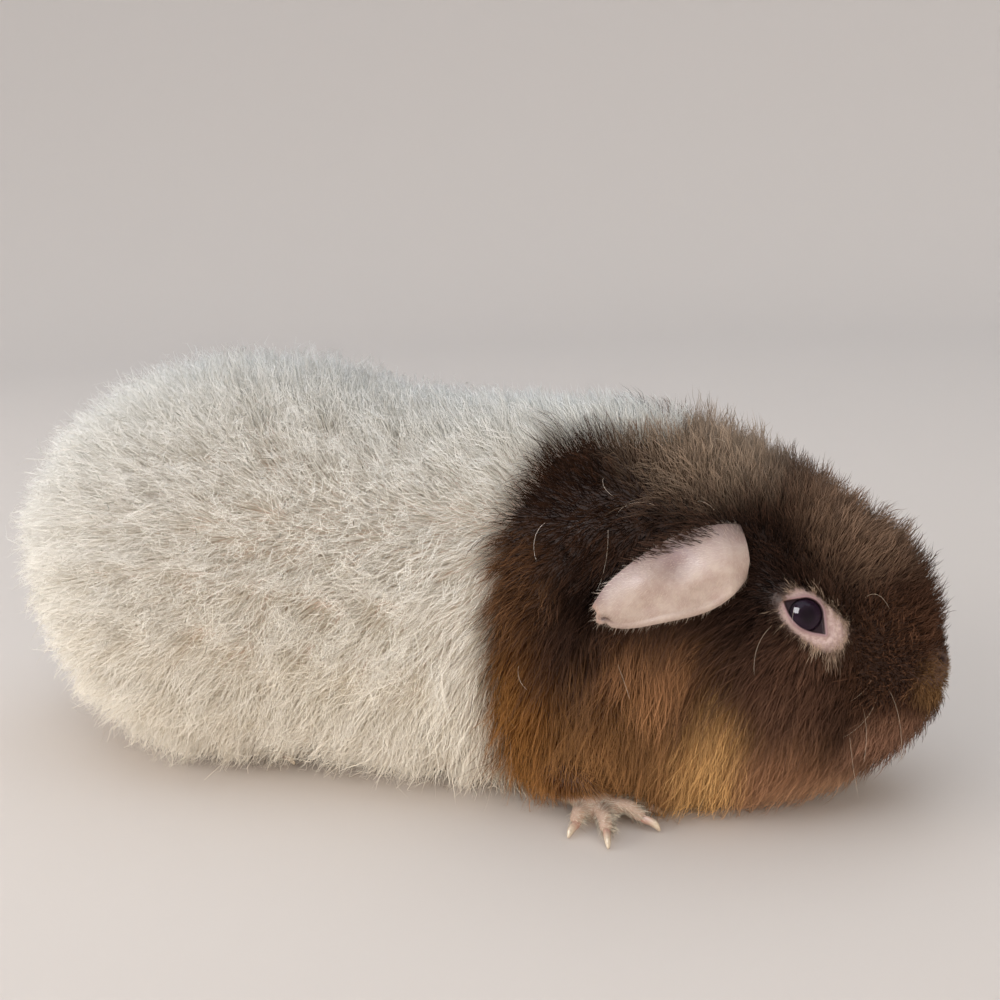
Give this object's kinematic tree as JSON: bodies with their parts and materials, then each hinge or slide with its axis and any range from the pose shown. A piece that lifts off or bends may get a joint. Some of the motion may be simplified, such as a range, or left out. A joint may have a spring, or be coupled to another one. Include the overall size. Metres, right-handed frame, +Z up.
{
  "type": "guinea pig",
  "caption": "Life-size still model of a plush-coated guinea pig crouching on all fours, cream body with a brown neck and head, drooping ears and small splayed feet.",
  "frame": {"origin": "on the floor under the middle of the animal's bounding box", "axes": "+X from rump to nose, +Y to the animal's left, +Z up"},
  "size_m": [0.2684, 0.1198, 0.1096],
  "materials": {
    "white_coat": "plush, matte",
    "brown_coat": "plush, matte",
    "gold_coat": "plush, matte",
    "ear_skin": "soft, short-haired",
    "foot_skin": "soft, short-haired",
    "eye": "wet gloss",
    "claw": "satin horn"
  },
  "bodies": {
    "root": {"eye_left": "eye", "ear_left": "ear_skin", "fore_foot_left": "foot_skin", "hind_foot_left": "foot_skin", "fore_leg_left": "gold_coat", "hind_leg_left": "white_coat", "fore_claw_left_1": "claw", "fore_claw_left_2": "claw", "fore_claw_left_3": "claw", "fore_claw_left_4": "claw", "hind_claw_left_1": "claw", "hind_claw_left_2": "claw", "hind_claw_left_3": "claw", "eye_right": "eye", "ear_right": "ear_skin", "fore_foot_right": "foot_skin", "hind_foot_right": "foot_skin", "fore_leg_right": "gold_coat", "hind_leg_right": "white_coat", "fore_claw_right_1": "claw", "fore_claw_right_2": "claw", "fore_claw_right_3": "claw", "fore_claw_right_4": "claw", "hind_claw_right_1": "claw", "hind_claw_right_2": "claw", "hind_claw_right_3": "claw", "head": "brown_coat", "neck": "brown_coat", "trunk": "white_coat"}
  },
  "joints": []
}
